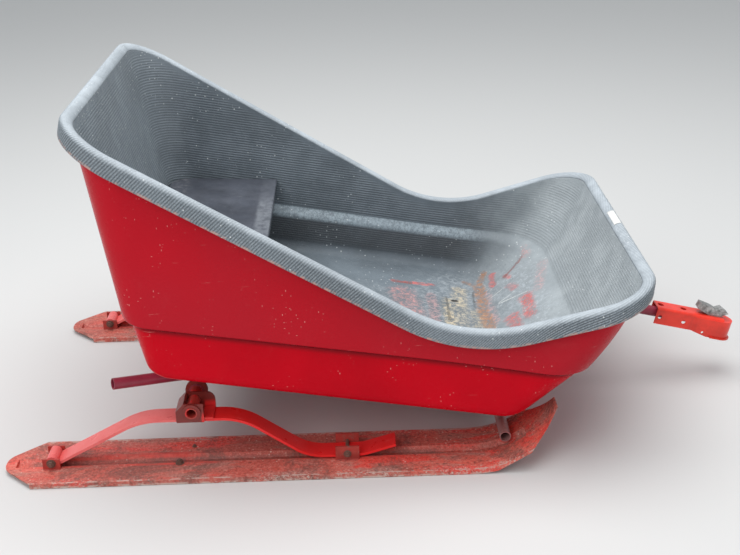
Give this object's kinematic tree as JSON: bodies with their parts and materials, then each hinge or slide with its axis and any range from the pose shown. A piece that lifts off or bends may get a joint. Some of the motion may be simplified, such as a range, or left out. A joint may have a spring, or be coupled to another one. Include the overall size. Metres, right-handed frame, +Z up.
{
  "type": "passenger sled",
  "caption": "Towed passenger sled: a rolled-rim tub on a tube frame that pivots on two leaf-sprung steel skis, with a ball coupler ahead.",
  "frame": {"origin": "on the ground under the middle of the whole sled's box", "axes": "+X forwards to the coupler, +Y to the sled's left, +Z up"},
  "size_m": [1.713, 0.8872, 0.7943],
  "materials": {
    "tub_red": "glossy",
    "coat_grey": "matt, ribbed",
    "seat_black": "satin",
    "axle_paint": "satin",
    "collar_steel": "satin",
    "worn_tube": "worn",
    "frame_paint": "satin",
    "coupler_red": "glossy",
    "zinc": "satin",
    "ski_paint": "worn and dirty",
    "spring_red": "glossy",
    "bracket_paint": "satin",
    "pin_steel": "dull",
    "pad_grey": "matt"
  },
  "bodies": {
    "tub_and_frame": {"tub_hull": "tub_red", "tub_coat": "coat_grey", "seat_board": "seat_black", "axle_tube": "axle_paint", "axle_collars": "collar_steel", "front_cross_tube": "worn_tube", "tongue_tube": "frame_paint", "frame_leg_left": "frame_paint", "frame_leg_right": "frame_paint", "floor_bearer_back": "frame_paint", "floor_bearer_front": "frame_paint", "coupler_body": "coupler_red", "coupler_latch": "zinc"},
    "left_ski_unit": {"ski_left": "ski_paint", "leaf_spring_left": "spring_red", "back_bracket_left": "bracket_paint", "back_pin_left": "pin_steel", "slide_bracket_left": "bracket_paint", "keeper_pin_left": "pin_steel", "wear_pad_left": "pad_grey", "saddle_left": "bracket_paint"},
    "right_ski_unit": {"ski_right": "ski_paint", "leaf_spring_right": "spring_red", "back_bracket_right": "bracket_paint", "back_pin_right": "pin_steel", "slide_bracket_right": "bracket_paint", "keeper_pin_right": "pin_steel", "wear_pad_right": "pad_grey", "saddle_right": "bracket_paint"}
  },
  "joints": [
    {"name": "left_ski_pitch", "type": "hinge", "parent": "tub_and_frame", "child": "left_ski_unit", "pos_m": [-0.43249, 0.355, 0.143], "axis": [0, 1, 0], "range_deg": [0, 20]},
    {"name": "right_ski_pitch", "type": "hinge", "parent": "tub_and_frame", "child": "right_ski_unit", "pos_m": [-0.43249, -0.355, 0.143], "axis": [0, 1, 0], "range_deg": [0, 20]}
  ]
}
